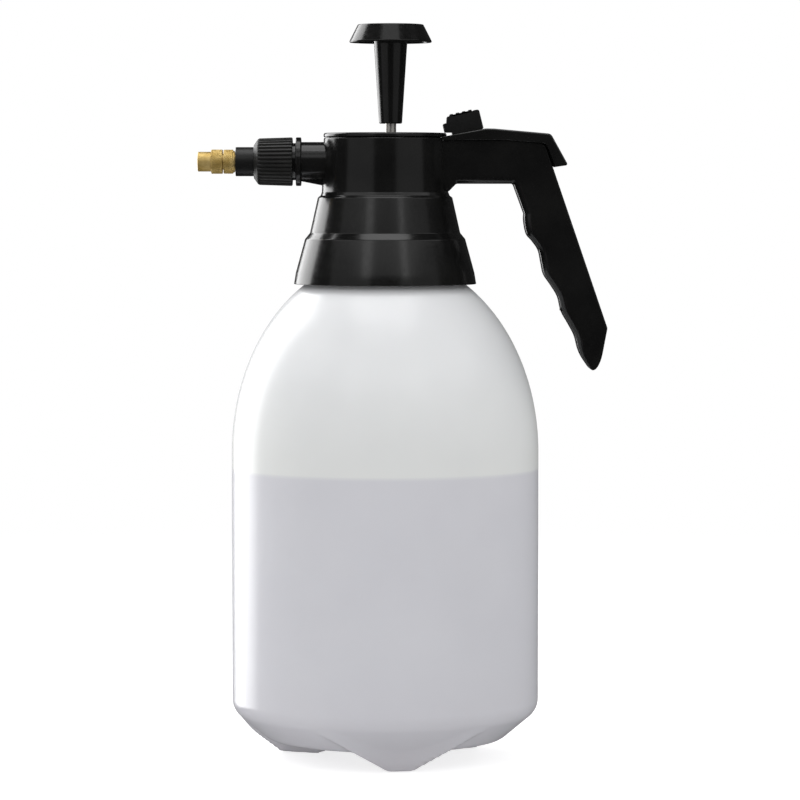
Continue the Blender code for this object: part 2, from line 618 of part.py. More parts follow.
def make_trigger():
    pivot = (PIVOT_X, 0, PIVOT_Z)
    pin = rod(PIN_RADIUS, -8.6, 8.6, 16, "Y", pivot)
    place("trigger_pin", pin, STEEL, pivot, roughness=0.3, metallic=1.0)
    outline = [(22.5, 259.5), (22.5, 260.1), (25.2, 260.5), (41.0, 263.6), (45.2, 263.6), (67.6, 261.6)]
    outline += [(69.5, 260.5), (75.7, 248.5), (70.4, 247.7), (67.0, 257.3), (64.4, 258.4), (50.5, 259.5)]
    lever = place("trigger_lever", prism(outline, LEVER_HALF_WIDTH), BLACK, pivot, roughness=0.25)
    hollow = [(27.0, 240.0), (27.0, 259.45), (41.0, 262.2), (45.2, 262.2), (67.0, 260.25)]
    hollow += [(68.4, 259.5), (72.7, 246.0), (72.7, 240.0)]
    cut(lever, "lever_hollow", prism(hollow, LEVER_HOLLOW_HALF_WIDTH))
    cut(lever, "cap_clearance", rod(26.0, 257.0, 266.0, 36))
    ear = [(29.5, 257.4), (43.5, 257.4), (44.2, 255.4), (45.6, 254.4), (48.4, 254.4), (49.8, 255.4)]
    ear += [(50.5, 258.0), (50.5, 262.4), (45.2, 262.9), (41.0, 262.9), (29.5, 260.6)]
    for name, middle in (("near_ear", -EAR_Y), ("far_ear", EAR_Y)):
        join(lever, name, prism(ear, EAR_HALF_WIDTH, middle))
    join(lever, "fork", box((30.5, -4.9, 257.4), (35.6, 4.9, 258.6)))
    cut(lever, "fork_slot", box((29.5, -1.6, 256.5), (34.7, 1.6, 259.2)))
    cut(lever, "pin_hole", rod(PIN_RADIUS + 0.15, -7.0, 7.0, 16, "Y", pivot))
    rail = [(28.4, 260.4), (28.4, 265.0), (34.2, 265.0), (34.2, 261.6)]
    join(lever, "lock_rail", prism(rail, 1.8))
    join(lever, "lock_rail_head", box((28.4, -4.0, 264.6), (34.2, 4.0, 266.2)))
    make_lock()


def make_lock():
    """The ribbed slide, which a T-shaped rail on the lever holds."""
    top = [(24.0, 265.5), (25.6, 268.6)]
    for number in range(3):
        start = 26.6 + LOCK_RIDGE_PITCH * number
        level = 268.8 + LOCK_TOP_SLOPE * (start - 25.6)
        top += [(start, level), (start + 0.5, level + 0.8)]
        top += [(start + 1.3, level + 0.9), (start + 1.8, level + 0.4)]
    outline = [(25.1, 260.2)] + top + [(38.7, 271.6), (39.4, 271.3), (40.8, 264.0), (40.4, 263.2)]
    where = (25.1, 0, 262.6)
    lock = place("trigger_lock", prism(outline, LOCK_HALF_WIDTH), BLACK, where, roughness=0.3)
    bottom = [(24.0, 259.0), (42.0, 259.0), (42.0, 264.1), (40.8, 263.9), (24.0, 260.6)]
    cut(lock, "lock_underside", prism(bottom, LOCK_HALF_WIDTH + OVERLAP))
    cap_room = rod(CAP_RADIUS + 0.3, 258.0, CAP_TOP_Z + 0.3, 48, "Z", (LOCK_TRAVEL, 0, 0))
    cut(lock, "lock_cap_clearance", cap_room)
    slot_end = 34.5 + LOCK_TRAVEL
    cut(lock, "rail_slot", box((28.1, -2.1, 259.0), (slot_end, 2.1, 264.7)))
    cut(lock, "rail_pocket", box((28.1, -4.3, 264.3), (slot_end, 4.3, 266.5)))


# ---------------------------------------------------------------- nozzle

def make_nozzle():
    centre = (0, 0, NOZZLE_Z)
    place("nozzle_gasket", ring(3.0, 7.4, -47.5, -46.3, 20, "X", centre), RUBBER, centre)
    holder = [(2.2, -47.8), (8.0, -47.8), (8.0, -49.8), (6.05, -49.8), (6.05, -62.2), (4.0, -62.2)]
    holder += [(4.0, -56.0), (2.2, -56.0)]
    place("nozzle_holder", turned(holder, 20, "X", centre), BLACK, centre, roughness=0.3)
    nut = [(NUT_BORE, -38.5), (10.1, -38.5), (9.7, -52.3), (9.2, -52.9), (6.8, -54.6)]
    nut += [(6.35, -54.6), (6.35, -50.1), (NUT_BORE, -50.1)]
    ribbed = turned(nut, 48, "X", centre, flutes=((1, NUT_RIB_DEPTH), (2, NUT_RIB_DEPTH)))
    nut_object = place("union_nut", ribbed, BLACK, centre, roughness=0.3)
    thread = ridge(
        NUT_BORE, NUT_THREAD_CREST, NUT_RIDGE_ROOT, NUT_RIDGE_TIP,
        NUT_LEAD, 40.2, NUT_THREAD_TURNS, 16, "X", centre,
    )
    join(nut_object, "nut_thread", thread)
    body = [(1.6, -56.3), (3.7, -56.3), (3.7, -62.5), (4.4, -62.5), (4.4, -63.1), (5.0, -63.1)]
    body += [(5.0, -67.2), (3.3, -67.2), (3.3, -71.7), (2.7, -71.7), (2.7, -75.4), (1.6, -75.8)]
    knurled = turned(body, 20, "X", centre, flutes=((5, KNURL_DEPTH), (6, KNURL_DEPTH)))
    place("nozzle_body", knurled, BRASS, centre, roughness=0.35, metallic=1.0)
    core = rod(1.3, -75.6, -66.0, 12, "X", centre)
    place("nozzle_core", core, BRASS, centre, roughness=0.35, metallic=1.0)
    place("nozzle_o_ring", ring(3.4, 4.15, -70.4, -69.6, 20, "X", centre), RUBBER, centre)
    cap = [(3.6, -67.6), (5.1, -67.6), (5.1, -72.3), (4.1, -72.3), (4.1, -77.8), (3.7, NOZZLE_TIP_X)]
    cap += [(0.6, NOZZLE_TIP_X), (0.6, -77.2), (3.0, -76.4), (3.0, -72.1), (3.6, -72.1)]
    cap += [(3.6, -70.7), (4.35, -70.7), (4.35, -69.3), (3.6, -69.3)]
    knurled_cap = turned(cap, 20, "X", centre, flutes=((1, KNURL_DEPTH), (2, KNURL_DEPTH)))
    place("nozzle_cap", knurled_cap, BRASS, centre, roughness=0.35, metallic=1.0)


make_bottle()
make_head()
make_cap()
make_pump()
make_tubes()
make_valve()
make_trigger()
make_nozzle()
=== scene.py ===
"""The looks of a two-litre hand pump sprayer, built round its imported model.

Shapes are made in millimetres, measured from the bottle's axis and from a level just under
the feet, as the model's own pieces are. put() turns them into metres in the model's frame.
"""

import json
import math

import bmesh
import bpy
from mathutils import Matrix, Vector


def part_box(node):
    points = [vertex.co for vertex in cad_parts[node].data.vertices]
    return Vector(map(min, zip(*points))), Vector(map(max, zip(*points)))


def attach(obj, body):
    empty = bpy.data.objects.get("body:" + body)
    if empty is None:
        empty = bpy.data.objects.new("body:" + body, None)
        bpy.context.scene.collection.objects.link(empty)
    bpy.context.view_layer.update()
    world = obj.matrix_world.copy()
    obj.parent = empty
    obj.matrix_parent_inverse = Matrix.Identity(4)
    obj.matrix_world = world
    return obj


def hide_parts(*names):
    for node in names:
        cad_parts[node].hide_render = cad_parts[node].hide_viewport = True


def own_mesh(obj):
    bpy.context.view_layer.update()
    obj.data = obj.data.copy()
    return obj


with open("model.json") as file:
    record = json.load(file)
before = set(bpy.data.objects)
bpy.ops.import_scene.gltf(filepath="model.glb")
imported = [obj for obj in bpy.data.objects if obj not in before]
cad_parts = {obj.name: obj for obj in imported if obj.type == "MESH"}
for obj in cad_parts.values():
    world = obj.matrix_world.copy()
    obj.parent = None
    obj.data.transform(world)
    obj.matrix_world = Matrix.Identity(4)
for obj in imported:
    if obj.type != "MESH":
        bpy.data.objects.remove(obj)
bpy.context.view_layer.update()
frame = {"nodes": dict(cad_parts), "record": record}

MM = 0.001
GASKET_Z = 227.3  # underside of the neck gasket, which places the frame
gasket_low, gasket_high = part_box("neck_gasket")
AXIS_X = (gasket_low.x + gasket_high.x) / 2
LEVEL = gasket_low.z - GASKET_Z * MM

# bottle
BOTTLE_RADIUS = 64.0
BOTTLE_WALL = 1.5
BOTTLE_COLUMNS = 240
BASE_ROWS = 46
SHOULDER_Z = 129.2
SHOULDER_RISE = 81.9
DOME_TOP_RADIUS = 26.6
DOME_STEPS = 34
SIDE_END_Z = 25.8  # where the straight side turns in towards the base
SIDE_STEPS = 6
KNUCKLE_RADIUS = 8.6
NECK_RADIUS = 23.5
MOUTH_Z = 227.0
LIQUID_Z = 122.3
FOOT_TURNS = (-82.0, 38.0, 158.0)
FOOT_Z = 1.25
FOOT_RADIUS = 37.0
PAD_HALF_WIDTH = 4.75
PAD_HALF_LENGTH = 9.0
FLANK_SLOPE = 0.577
FOOT_END_SLOPE = 2.5
VALLEY_Z = 9.3
VALLEY_RADIUS = 46.0
VALLEY_RISE = 3.0
BASE_CONE_SLOPE = 0.842
BASE_CONE_RADIUS = 49.0
BASE_CONE_Z = 9.2
PAD_END_RADIUS = 46.0
PAD_END_SLOPE = 1.2

# head
HEAD_TOP_Z = 259.9
CAP_UNDER_Z = 260.2
CAP_TOP_Z = 262.3
ARM_HALF_WIDTH = 9.5
CHANNEL_HALF_WIDTH = 7.0
GRIP_BACK_X = 69.5  # the grip's straight back, at its top
GRIP_BACK_SLOPE = 0.344
GRIP_TOP_Z = 247.7
GRIP_LOW_Z = 181.4
GRIP_TIP_Z = 163.5
FINGER_TOP_Z = 247.0
FINE_RIM = 0.6
WIDE_RIM = 2.8  # added to the fine rim where the fingers go
GRIP_RIB_HEIGHTS = (226.0, 206.0, 188.0)
GRIP_RIB_DEPTH = 17.0
GRIP_RIB_THICKNESS = 1.6

# pump, nozzle and trigger
PUMP_X = 2.3
ROD_RADIUS = 2.3
NOZZLE_Z = 250.0
KNOB_WEBS = 6
NUT_RIBS = 36
NUT_RIB_DEPTH = 0.75
NUT_GRIP_RADIUS = 9.3
NUT_GRIP_FRONT = -52.6
NUT_GRIP_BACK = -38.4
KNURL_TEETH = 30
KNURL_DEPTH = 0.22
KNURL_PITCH = 1.15
KNURL_RADIUS = 4.95
PIVOT_X = 47.0
PIVOT_Z = 257.5
LEVER_HALF_WIDTH = 11.1
LEVER_HOLLOW_HALF_WIDTH = 9.85
EAR_HALF_THICKNESS = 0.8
EAR_OFFSET = 5.2
LOCK_TRAVEL = 3.0
LOCK_HALF_WIDTH = 7.0
LOCK_TOP_X = 25.6
LOCK_TOP_Z = 268.5
LOCK_TOP_SLOPE = 0.23
LOCK_RIBS = 4
LOCK_RIB_START = 26.5
LOCK_RIB_PITCH = 2.55
LOCK_SLOT_START = 28.1
LOCK_SLOT_END = 34.5 + LOCK_TRAVEL
SPRING_TURNS = 3
SPRING_STEPS = 24
SPRING_SIDES = 8
SPRING_RADIUS = 2.2
SPRING_WIRE = 0.22

# stage, in metres
CAMERA_PLACE = (-0.001, -1.607, 0.2368)
CAMERA_AIM = (-0.001, 0, 0.1494)
CAMERA_LENS = 173.4
CAMERA_SENSOR = 36.0
FLOOR_RADIUS = 1.2
FLOOR_DROP = 0.0002
FLOOR_GLOW = (0.3, 0.7)  # for other rays, and for the camera's
FLOOR_FADE = (0.25, 1.1)
WORLD_AMBIENT = 0.57
WORLD_IN_REFLECTIONS = 0.03
WORLD_BEHIND = 1.0
LIGHT_AIM_Z = 0.17
SOFTBOXES = (
    # name, azimuth, elevation, distance, width, height, radiance, seen in reflections
    ("strip_left", 131, 17, 1.3, 1.0, 1.7, 4.0, True),
    ("fill_right", -125, 10, 1.5, 1.0, 1.3, 1.1, False),
    ("front_left", 47, 10, 1.6, 1.6, 0.9, 0.28, True),
    ("front_right", -47, 10, 1.6, 1.6, 0.9, 0.26, True),
    ("low_front", 0, 36.5, 1.6, 1.7, 0.55, 0.75, True),
    ("low_left", 52, 36.5, 1.6, 1.8, 0.55, 0.85, True),
    ("low_right", -58, 36.5, 1.6, 1.9, 0.55, 0.8, True),
    ("upper_front", 0, 62, 1.5, 1.0, 0.6, 0.75, True),
    ("top", 0, 88, 1.3, 1.0, 1.0, 2.2, True),
)


# ---------------------------------------------------------------- outlines

def vectors(points):
    """Plain points as vectors."""
    return [Vector(point) for point in points]


def rounded(points, steps=5):
    """A closed outline whose corners are arcs. A point's third number is its corner's radius."""
    outline = []
    for number, point in enumerate(points):
        here = Vector(point[:2])
        if len(point) == 2:
            outline.append(here)
            continue
        back = (Vector(points[number - 1][:2]) - here).normalized()
        ahead = (Vector(points[(number + 1) % len(points)][:2]) - here).normalized()
        half = back.angle(ahead) / 2
        radius = point[2]
        centre = here + (back + ahead).normalized() * radius / math.sin(half)
        first = here + back * radius / math.tan(half) - centre
        last = here + ahead * radius / math.tan(half) - centre
        turn = math.atan2(first.x * last.y - first.y * last.x, first.dot(last))
        for step in range(steps + 1):
            angle = turn * step / steps
            along = Vector((first.x * math.cos(angle) - first.y * math.sin(angle),
                            first.x * math.sin(angle) + first.y * math.cos(angle)))
            outline.append(centre + along)
    return outline


def curve(knots, steps=6):
    """Points on a Catmull-Rom curve through the knots."""
    knots = [Vector(knot) for knot in knots]
    ends = [2 * knots[0] - knots[1]] + knots + [2 * knots[-1] - knots[-2]]
    points = []
    for a, b, c, d in zip(ends, ends[1:], ends[2:], ends[3:]):
        for step in range(steps):
            t = step / steps
            points.append(0.5 * (2 * b + (c - a) * t + (2 * a - 5 * b + 4 * c - d) * t**2
                                 + (3 * b - a - 3 * c + d) * t**3))
    points.append(knots[-1])
    return points


def blend_low(a, b, width):
    """The lower of two heights, with the crease between them rounded."""
    near = max(width - abs(a - b), 0) / width
    return min(a, b) - near * near * width / 4


def blend_high(a, b, width):
    """The higher of two heights, with the crease between them rounded."""
    return -blend_low(-a, -b, width)


# ---------------------------------------------------------------- solids

def turn_to(shape, axis, centre):
    """Lay a shape made along Z along another axis, and move it to its place."""
    if axis == "X":
        bmesh.ops.rotate(shape, verts=shape.verts, matrix=Matrix.Rotation(math.pi / 2, 3, "Y"))
    if axis == "Y":
        bmesh.ops.rotate(shape, verts=shape.verts, matrix=Matrix.Rotation(-math.pi / 2, 3, "X"))
    bmesh.ops.translate(shape, verts=shape.verts, vec=centre)
    return shape


def lathe(profile, columns=128, axis="Z", centre=(0, 0, 0), inset=None):
    """A turned shape from (radius, place along the axis) points.

    A profile that starts and ends on the axis gets flat ends, and any other is a closed ring.
    inset(angle, radius, along) is how far a point is set in, for ribs and knurls.
    """
    shape = bmesh.new()
    closed = profile[0][0] > 0
    if not closed:
        profile = profile[1:-1]
    rings = []
    for column in range(columns):
        angle = 2 * math.pi * column / columns
        line = []
        for radius, along in profile:
            depth = inset(angle, radius, along) if inset else 0
            spot = ((radius - depth) * math.cos(angle), (radius - depth) * math.sin(angle), along)
            line.append(shape.verts.new(spot))
        rings.append(line)
    for here, there in zip(rings, rings[1:] + rings[:1]):
        for number in range(len(profile) if closed else len(profile) - 1):
            after = (number + 1) % len(profile)
            shape.faces.new((here[number], there[number], there[after], here[after]))
    if not closed:
        shape.faces.new([line[0] for line in rings])
        shape.faces.new([line[-1] for line in rings])
    return turn_to(shape, axis, centre)


def rod(radius, low, high, columns=64, axis="Z", centre=(0, 0, 0), edge=0.0):
    """A cylinder between two places on its axis, with rounded edges if asked."""
    corners = [(0, high), (radius, high, edge), (radius, low, edge), (0, low)]
    if edge == 0:
        corners = [corner[:2] for corner in corners]
    return lathe(rounded(corners), columns, axis, centre)


def slab(outline, half_width, edge=0.0, middle=0.0, steps=4):
    """An (x, z) outline extruded along Y, with its rims rounded by edge, a number or a function."""
    area = sum(a.x * b.y - b.x * a.y for a, b in zip(outline, outline[1:] + outline[:1]))
    side = 1 if area > 0 else -1
    inward = []
    for number, here in enumerate(outline):
        before = (here - outline[number - 1]).normalized()
        after = (outline[(number + 1) % len(outline)] - here).normalized()
        first = Vector((-before.y, before.x)) * side
        second = Vector((-after.y, after.x)) * side
        inward.append((first + second) / max(0.3, 1 + first.dot(second)))
    rims = []
    for number, here in enumerate(outline):
        rims.append(edge(here.x, here.y) if callable(edge) else edge)
    shape = bmesh.new()
    loops = []
    rows = steps + 1 if max(rims) > 0 else 1
    turns = [math.pi / 2 * row / steps for row in range(rows)] if rows > 1 else [math.pi / 2]
    for sign, angles in ((1, turns), (-1, turns[::-1])):
        for angle in angles:
            loop = []
            for here, normal, rim in zip(outline, inward, rims):
                spot = here + normal * rim * (1 - math.sin(angle))
                depth = half_width - rim * (1 - math.cos(angle))
                loop.append(shape.verts.new((spot.x, middle + sign * depth, spot.y)))
            loops.append(loop)
    for near, far in zip(loops, loops[1:]):
        for number in range(len(outline)):
            after = (number + 1) % len(outline)
            shape.faces.new((near[number], near[after], far[after], far[number]))
    shape.faces.new(loops[0])
    shape.faces.new(loops[-1])
    return shape


def block(low, high):
    """A block between two corners."""
    middle = (low[1] + high[1]) / 2
    corners = [(low[0], low[2]), (high[0], low[2]), (high[0], high[2]), (low[0], high[2])]
    return slab(vectors(corners), (high[1] - low[1]) / 2, 0.0, middle)


def ridge(wall, crest, root, tip, lead, start, turns, steps, axis="Z", centre=(0, 0, 0)):
    """A helical thread ridge on a wall, fading into it at both ends."""
    inward = 1 if crest > wall else -1
    count = round(turns * steps)
    shape = bmesh.new()
    sections = []
    for step in range(count + 1):
        angle = 2 * math.pi * step / steps
        fade = min(1, 4 * step / steps, 4 * (count - step) / steps)
        reach = wall - 0.2 * inward + (crest - wall + 0.2 * inward) * fade
        middle = start + lead * step / steps
        section = []
        for radius, off in ((wall - 0.5 * inward, -root / 2), (reach, -tip / 2),
                            (reach, tip / 2), (wall - 0.5 * inward, root / 2)):
            spot = (radius * math.cos(angle), radius * math.sin(angle), middle + off)
            section.append(shape.verts.new(spot))
        sections.append(section)
    for here, there in zip(sections, sections[1:]):
        for number in range(4):
            after = (number + 1) % 4
            shape.faces.new((here[number], there[number], there[after], here[after]))
    shape.faces.new(sections[0])
    shape.faces.new(sections[-1])
    if axis == "X":
        bmesh.ops.rotate(shape, verts=shape.verts, matrix=Matrix.Rotation(-math.pi / 2, 3, "Y"))
    bmesh.ops.translate(shape, verts=shape.verts, vec=centre)
    return shape


def joined(shapes):
    """Several closed shapes as one, each with its faces turned outwards."""
    whole = bmesh.new()
    for shape in shapes:
        bmesh.ops.remove_doubles(shape, verts=shape.verts, dist=1e-5)
        bmesh.ops.recalc_face_normals(shape, faces=shape.faces)
        mesh = bpy.data.meshes.new("shape")
        shape.to_mesh(mesh)
        shape.free()
        whole.from_mesh(mesh)
        bpy.data.meshes.remove(mesh)
    return whole


def put(name, shapes, sharp=35):
    """An object in the model's frame from shapes in millimetres."""
    shape = joined(shapes)
    bmesh.ops.scale(shape, verts=shape.verts, vec=(MM, MM, MM))
    bmesh.ops.translate(shape, verts=shape.verts, vec=(AXIS_X, 0, LEVEL))
    mesh = bpy.data.meshes.new(name)
    shape.to_mesh(mesh)
    shape.free()
    mesh.shade_smooth()
    mesh.set_sharp_from_angle(angle=math.radians(sharp))
    piece = bpy.data.objects.new(name, mesh)
    bpy.context.scene.collection.objects.link(piece)
    return piece


def settle(piece, sharp=35):
    """Turn a piece's modifiers into its mesh."""
    graph = bpy.context.evaluated_depsgraph_get()
    made = bpy.data.meshes.new_from_object(piece.evaluated_get(graph))
    piece.modifiers.clear()
    piece.data = made
    made.shade_smooth()
    made.set_sharp_from_angle(angle=math.radians(sharp))


def carve(piece, shapes):
    """Cut shapes from a piece, one after another."""
    for shape in shapes:
        tool = put("tool", [shape])
        modifier = piece.modifiers.new("tool", "BOOLEAN")
        modifier.operation = "DIFFERENCE"
        modifier.solver = "EXACT"
        modifier.object = tool
        settle(piece)
        bpy.data.objects.remove(tool)


def soften(piece, width, angle=50):
    """Break a piece's hard edges with a narrow bevel."""
    bevel = piece.modifiers.new("edges", "BEVEL")
    bevel.width = width * MM
    bevel.segments = 2
    bevel.limit_method = "ANGLE"
    bevel.angle_limit = math.radians(angle)
    bevel.use_clamp_overlap = True
    settle(piece, 60)


def finish_piece(piece, body, slot, stands_for=()):
    """Weighted normals, the slot's material, and the body that the piece rides on."""
    normals = piece.modifiers.new("normals", "WEIGHTED_NORMAL")
    normals.keep_sharp = True
    piece.data.materials.clear()
    piece.data.materials.append(MATERIALS[slot])
    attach(piece, body)
    if stands_for:
        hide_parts(*stands_for)


# ---------------------------------------------------------------- materials

def new_material(name):
    """A material with its node tree, its Principled shader and its object coordinates."""
    made = bpy.data.materials.new(name)
    made.use_nodes = True
    tree = made.node_tree
    shader = tree.nodes["Principled BSDF"]
    place = tree.nodes.new("ShaderNodeTexCoord").outputs["Object"]
    return made, tree, shader, place


def noise(tree, place, scale, detail=3.0, stretch=None):
    """A noise value over the surface, with features about 1 / scale metres across."""
    if stretch:
        mapping = tree.nodes.new("ShaderNodeMapping")
        mapping.inputs["Scale"].default_value = stretch
        tree.links.new(place, mapping.inputs["Vector"])
        place = mapping.outputs["Vector"]
    texture = tree.nodes.new("ShaderNodeTexNoise")
    texture.inputs["Scale"].default_value = scale
    texture.inputs["Detail"].default_value = detail
    tree.links.new(place, texture.inputs["Vector"])
    return texture.outputs["Fac"]


def spread(tree, value, low, high):
    """A noise value stretched to a range."""
    ranged = tree.nodes.new("ShaderNodeMapRange")
    ranged.inputs["From Min"].default_value = 0.3
    ranged.inputs["From Max"].default_value = 0.7
    ranged.inputs["To Min"].default_value = low
    ranged.inputs["To Max"].default_value = high
    tree.links.new(value, ranged.inputs["Value"])
    return ranged.outputs["Result"]


def ramp(tree, value, stops):
    """A colour from a value by (place, colour) stops."""
    made = tree.nodes.new("ShaderNodeValToRGB")
    elements = made.color_ramp.elements
    while len(elements) < len(stops):
        elements.new(0.5)
    for element, (place, colour) in zip(elements, stops):
        element.position = place
        element.color = (*colour, 1)
    tree.links.new(value, made.inputs["Fac"])
    return made.outputs["Color"]


def relief(tree, shader, height, distance):
    """A bump on the shader, with a distance in millimetres."""
    bump = tree.nodes.new("ShaderNodeBump")
    bump.inputs["Strength"].default_value = 1.0
    bump.inputs["Distance"].default_value = distance * MM
    tree.links.new(height, bump.inputs["Height"])
    tree.links.new(bump.outputs["Normal"], shader.inputs["Normal"])


def surface(name, dark, light, gloss, grain=900, depth=0.01, patch=60, metallic=0.0, stretch=None):
    """A finish whose colour and gloss drift in patches, over a fine grain."""
    made, tree, shader, place = new_material(name)
    drift = noise(tree, place, patch)
    fine = noise(tree, place, grain, 2.0, stretch)
    colour = ramp(tree, drift, ((0.35, dark), (0.65, light)))
    tree.links.new(colour, shader.inputs["Base Color"])
    tree.links.new(spread(tree, fine, *gloss), shader.inputs["Roughness"])
    relief(tree, shader, fine, depth)
    shader.inputs["Metallic"].default_value = metallic
    return made


def bottle_material():
    """Milky blow-moulded plastic, with the liquid's grey showing through up to its level, and painted
    floor light lifting the very bottom.
    """
    made, tree, shader, place = new_material("natural_plastic_look")
    parts = tree.nodes.new("ShaderNodeSeparateXYZ")
    tree.links.new(place, parts.inputs["Vector"])
    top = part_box("bottle")[1].z
    share = tree.nodes.new("ShaderNodeMath")
    share.operation = "DIVIDE"
    share.inputs[1].default_value = top
    tree.links.new(parts.outputs["Z"], share.inputs[0])
    line = (LEVEL + LIQUID_Z * MM) / top
    # Colour by share of the height: greyer below the liquid line, darker towards the base and a little
    # lighter towards the top. The lowest stop is lifted above the next one as painted light from the
    # floor on the feet.
    stops = (
        (0.0, (0.62, 0.605, 0.64)),
        (0.06, (0.58, 0.575, 0.61)),
        (0.18, (0.595, 0.595, 0.63)),
        (line - 0.003, (0.615, 0.615, 0.65)),
        (line + 0.002, (0.72, 0.73, 0.72)),
        (0.72, (0.73, 0.74, 0.745)),
        (1.0, (0.74, 0.745, 0.765)),
    )
    tone_with_floor_light = ramp(tree, share.outputs["Value"], stops)
    cloud = noise(tree, place, 28, 2.0)
    mottle = ramp(tree, cloud, ((0.3, (0.965, 0.965, 0.97)), (0.7, (1.0, 1.0, 1.0))))
    mix = tree.nodes.new("ShaderNodeMix")
    mix.data_type = "RGBA"
    mix.blend_type = "MULTIPLY"
    mix.inputs["Factor"].default_value = 1.0
    tree.links.new(tone_with_floor_light, mix.inputs["A"])
    tree.links.new(mottle, mix.inputs["B"])
    tree.links.new(mix.outputs["Result"], shader.inputs["Base Color"])
    fine = noise(tree, place, 500, 2.0)
    tree.links.new(spread(tree, fine, 0.25, 0.26), shader.inputs["Roughness"])
    relief(tree, shader, noise(tree, place, 70, 1.0), 0.03)
    shader.inputs["Subsurface Weight"].default_value = 0.25
    shader.inputs["Subsurface Scale"].default_value = 4 * MM
    shader.inputs["Subsurface Radius"].default_value = (1.0, 0.95, 0.9)
    return made


MATERIALS = {
    "natural_plastic": bottle_material(),
    "black_plastic": surface(
        "black_plastic_look", (0.0035, 0.0035, 0.0035), (0.006, 0.006, 0.0058), (0.15, 0.22),
        grain=700, depth=0.004),
    "white_plastic": surface(
        "white_plastic_look", (0.70, 0.70, 0.71), (0.78, 0.78, 0.78), (0.35, 0.45)),
    "clear_tube": surface(
        "clear_tube_look", (0.62, 0.64, 0.64), (0.72, 0.74, 0.74), (0.15, 0.22)),
    "black_rubber": surface(
        "black_rubber_look", (0.015, 0.015, 0.015), (0.03, 0.03, 0.03), (0.55, 0.7),
        grain=1500, depth=0.02),
    "steel": surface(
        "steel_look", (0.62, 0.61, 0.57), (0.74, 0.72, 0.68), (0.26, 0.31),
        grain=600, depth=0.001, metallic=0.85, stretch=(1, 1, 0.1)),
    "brass": surface(
        "brass_look", (0.52, 0.35, 0.10), (0.76, 0.56, 0.22), (0.34, 0.48),
        grain=2500, depth=0.004, patch=240, metallic=0.65, stretch=(1, 0.15, 0.15)),
}
MATTE_BLACK = surface(
    "matte_black_look", (0.004, 0.004, 0.004), (0.007, 0.007, 0.007), (0.34, 0.42),
    grain=1400, depth=0.01)
RIBBED_BLACK = surface(
    "ribbed_black_look", (0.009, 0.009, 0.009), (0.016, 0.016, 0.015), (0.42, 0.52),
    grain=1400, depth=0.01)
MATTE_BLACK.node_tree.nodes["Principled BSDF"].inputs["Specular IOR Level"].default_value = 0.4


# ---------------------------------------------------------------- bottle

def underside(radius, turn):
    """Height of the bottle's underside at a radius and a turn from the nearest foot."""
    cone = BASE_CONE_Z + BASE_CONE_SLOPE * (radius - BASE_CONE_RADIUS)
    valley = VALLEY_Z + VALLEY_RISE * max(0, 1 - (radius / VALLEY_RADIUS) ** 2)
    across = (abs(radius * math.sin(turn)) - PAD_HALF_WIDTH) * FLANK_SLOPE
    along = (abs(radius * math.cos(turn) - FOOT_RADIUS) - PAD_HALF_LENGTH) * FOOT_END_SLOPE
    foot = FOOT_Z + max(0, blend_high(blend_high(across, along, 1.0), 0, 0.6) - 0.15)
    level = blend_low(blend_high(cone, valley, 1.5), foot, 1.2)
    return max(level, FOOT_Z + (radius - PAD_END_RADIUS) * PAD_END_SLOPE)


def bottle_wall():
    """The side's (radius, z) points, from the mouth down to where the base begins."""
    wall = [(22.9, MOUTH_Z), (NECK_RADIUS, MOUTH_Z - 0.6), (NECK_RADIUS, 210.0)]
    wall += [(23.7, 208.4), (24.2, 206.8), (25.1, 205.2)]
    dome_end = math.acos(DOME_TOP_RADIUS / BOTTLE_RADIUS)
    for step in range(DOME_STEPS + 1):
        rise = dome_end * (1 - step / DOME_STEPS)
        wall.append((BOTTLE_RADIUS * math.cos(rise), SHOULDER_Z + SHOULDER_RISE * math.sin(rise)))
    for step in range(1, SIDE_STEPS + 1):
        wall.append((BOTTLE_RADIUS, SHOULDER_Z + (SIDE_END_Z - SHOULDER_Z) * step / SIDE_STEPS))
    slope = math.pi / 2 - math.atan(BASE_CONE_SLOPE)
    for step in range(1, SIDE_STEPS + 1):
        angle = slope * step / SIDE_STEPS
        radius = BOTTLE_RADIUS - KNUCKLE_RADIUS * (1 - math.cos(angle))
        wall.append((radius, SIDE_END_Z - KNUCKLE_RADIUS * math.sin(angle)))
    return wall


def bottle_shape():
    """The bottle's outer skin, open at the mouth."""
    wall = bottle_wall()
    rim_radius, rim_z = wall[-1]
    radii = [rim_radius * (1 - row / BASE_ROWS) for row in range(1, BASE_ROWS)]
    shape = bmesh.new()
    centre = shape.verts.new((0, 0, underside(0, 0)))
    lines = []
    for column in range(BOTTLE_COLUMNS):
        turn = 2 * math.pi * column / BOTTLE_COLUMNS
        offs = [math.remainder(turn - math.radians(foot), 2 * math.pi) for foot in FOOT_TURNS]
        from_foot = min(offs, key=abs)
        points = wall + [(radius, min(underside(radius, from_foot), rim_z)) for radius in radii]
        line = []
        for radius, height in points:
            line.append(shape.verts.new((radius * math.cos(turn), radius * math.sin(turn), height)))
        lines.append(line)
    for here, there in zip(lines, lines[1:] + lines[:1]):
        for number in range(len(here) - 1):
            shape.faces.new((here[number], there[number], there[number + 1], here[number + 1]))
        shape.faces.new((here[-1], there[-1], centre))
    return shape


def make_bottle():
    """The blow-moulded shell, with a wall, and the neck's thread."""
    bottle = put("bottle_shell", [bottle_shape()], 80)
    wall = bottle.modifiers.new("wall", "SOLIDIFY")
    wall.thickness = BOTTLE_WALL * MM
    wall.offset = -1
    wall.use_even_offset = True
    settle(bottle, 60)
    finish_piece(bottle, "bottle", "natural_plastic", ["bottle"])
    thread = put("bottle_thread", [ridge(NECK_RADIUS, 25.0, 2.2, 0.9, 4.0, 212.0, 1.25, 72)])
    finish_piece(thread, "bottle", "natural_plastic")


# ---------------------------------------------------------------- head

